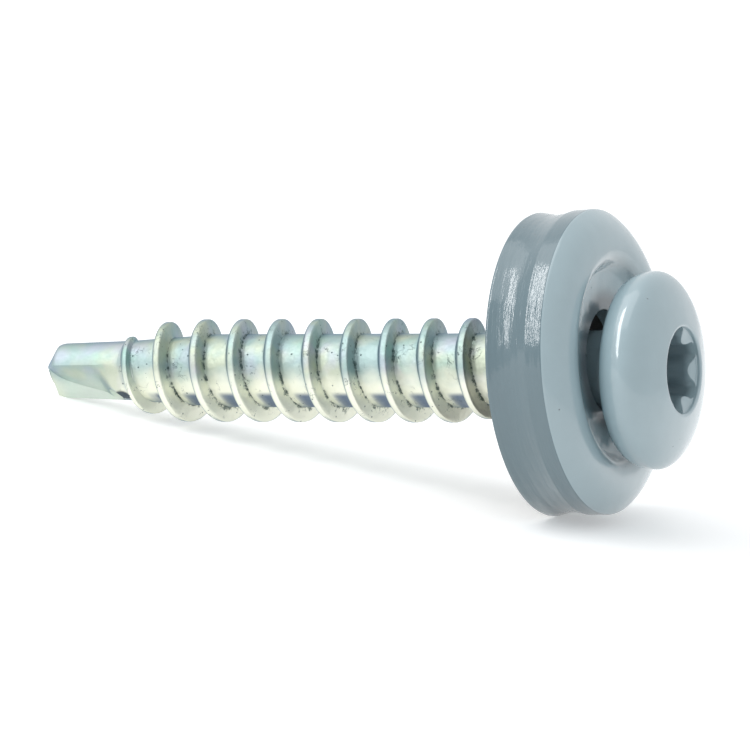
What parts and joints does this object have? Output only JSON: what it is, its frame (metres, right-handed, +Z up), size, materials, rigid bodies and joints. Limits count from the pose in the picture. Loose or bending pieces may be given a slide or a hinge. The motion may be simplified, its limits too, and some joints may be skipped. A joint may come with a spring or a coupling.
{
  "type": "self drilling screw",
  "caption": "Self-drilling screw with a fluted drill point, coarse thread, painted domed head with a lobed drive recess, and a loose domed washer with a bonded rubber seal.",
  "frame": {"origin": "the middle of the lying screw's bounding box, at floor level", "axes": "+X along the floor from the drill point toward the head, +Z up, +Y away from the camera; the screw's own axis rises by 12.0 degrees from the drill point to the head"},
  "size_m": [0.0372, 0.0159, 0.0161],
  "materials": {
    "screw": "bright zinc plating, with glossy grey paint on the head",
    "washer": "glossy grey powder paint",
    "seal": "rubber, painted over round its side"
  },
  "bodies": {
    "screw": {"screw": "screw"},
    "washer": {"washer": "washer", "seal": "seal"}
  },
  "joints": [
    {"name": "washer_spin", "type": "hinge", "parent": "screw", "child": "washer", "pos_m": [0.01197, -0.00001, 0.00805], "axis": [0.9678, 0.004, 0.2516], "continuous": true}
  ]
}
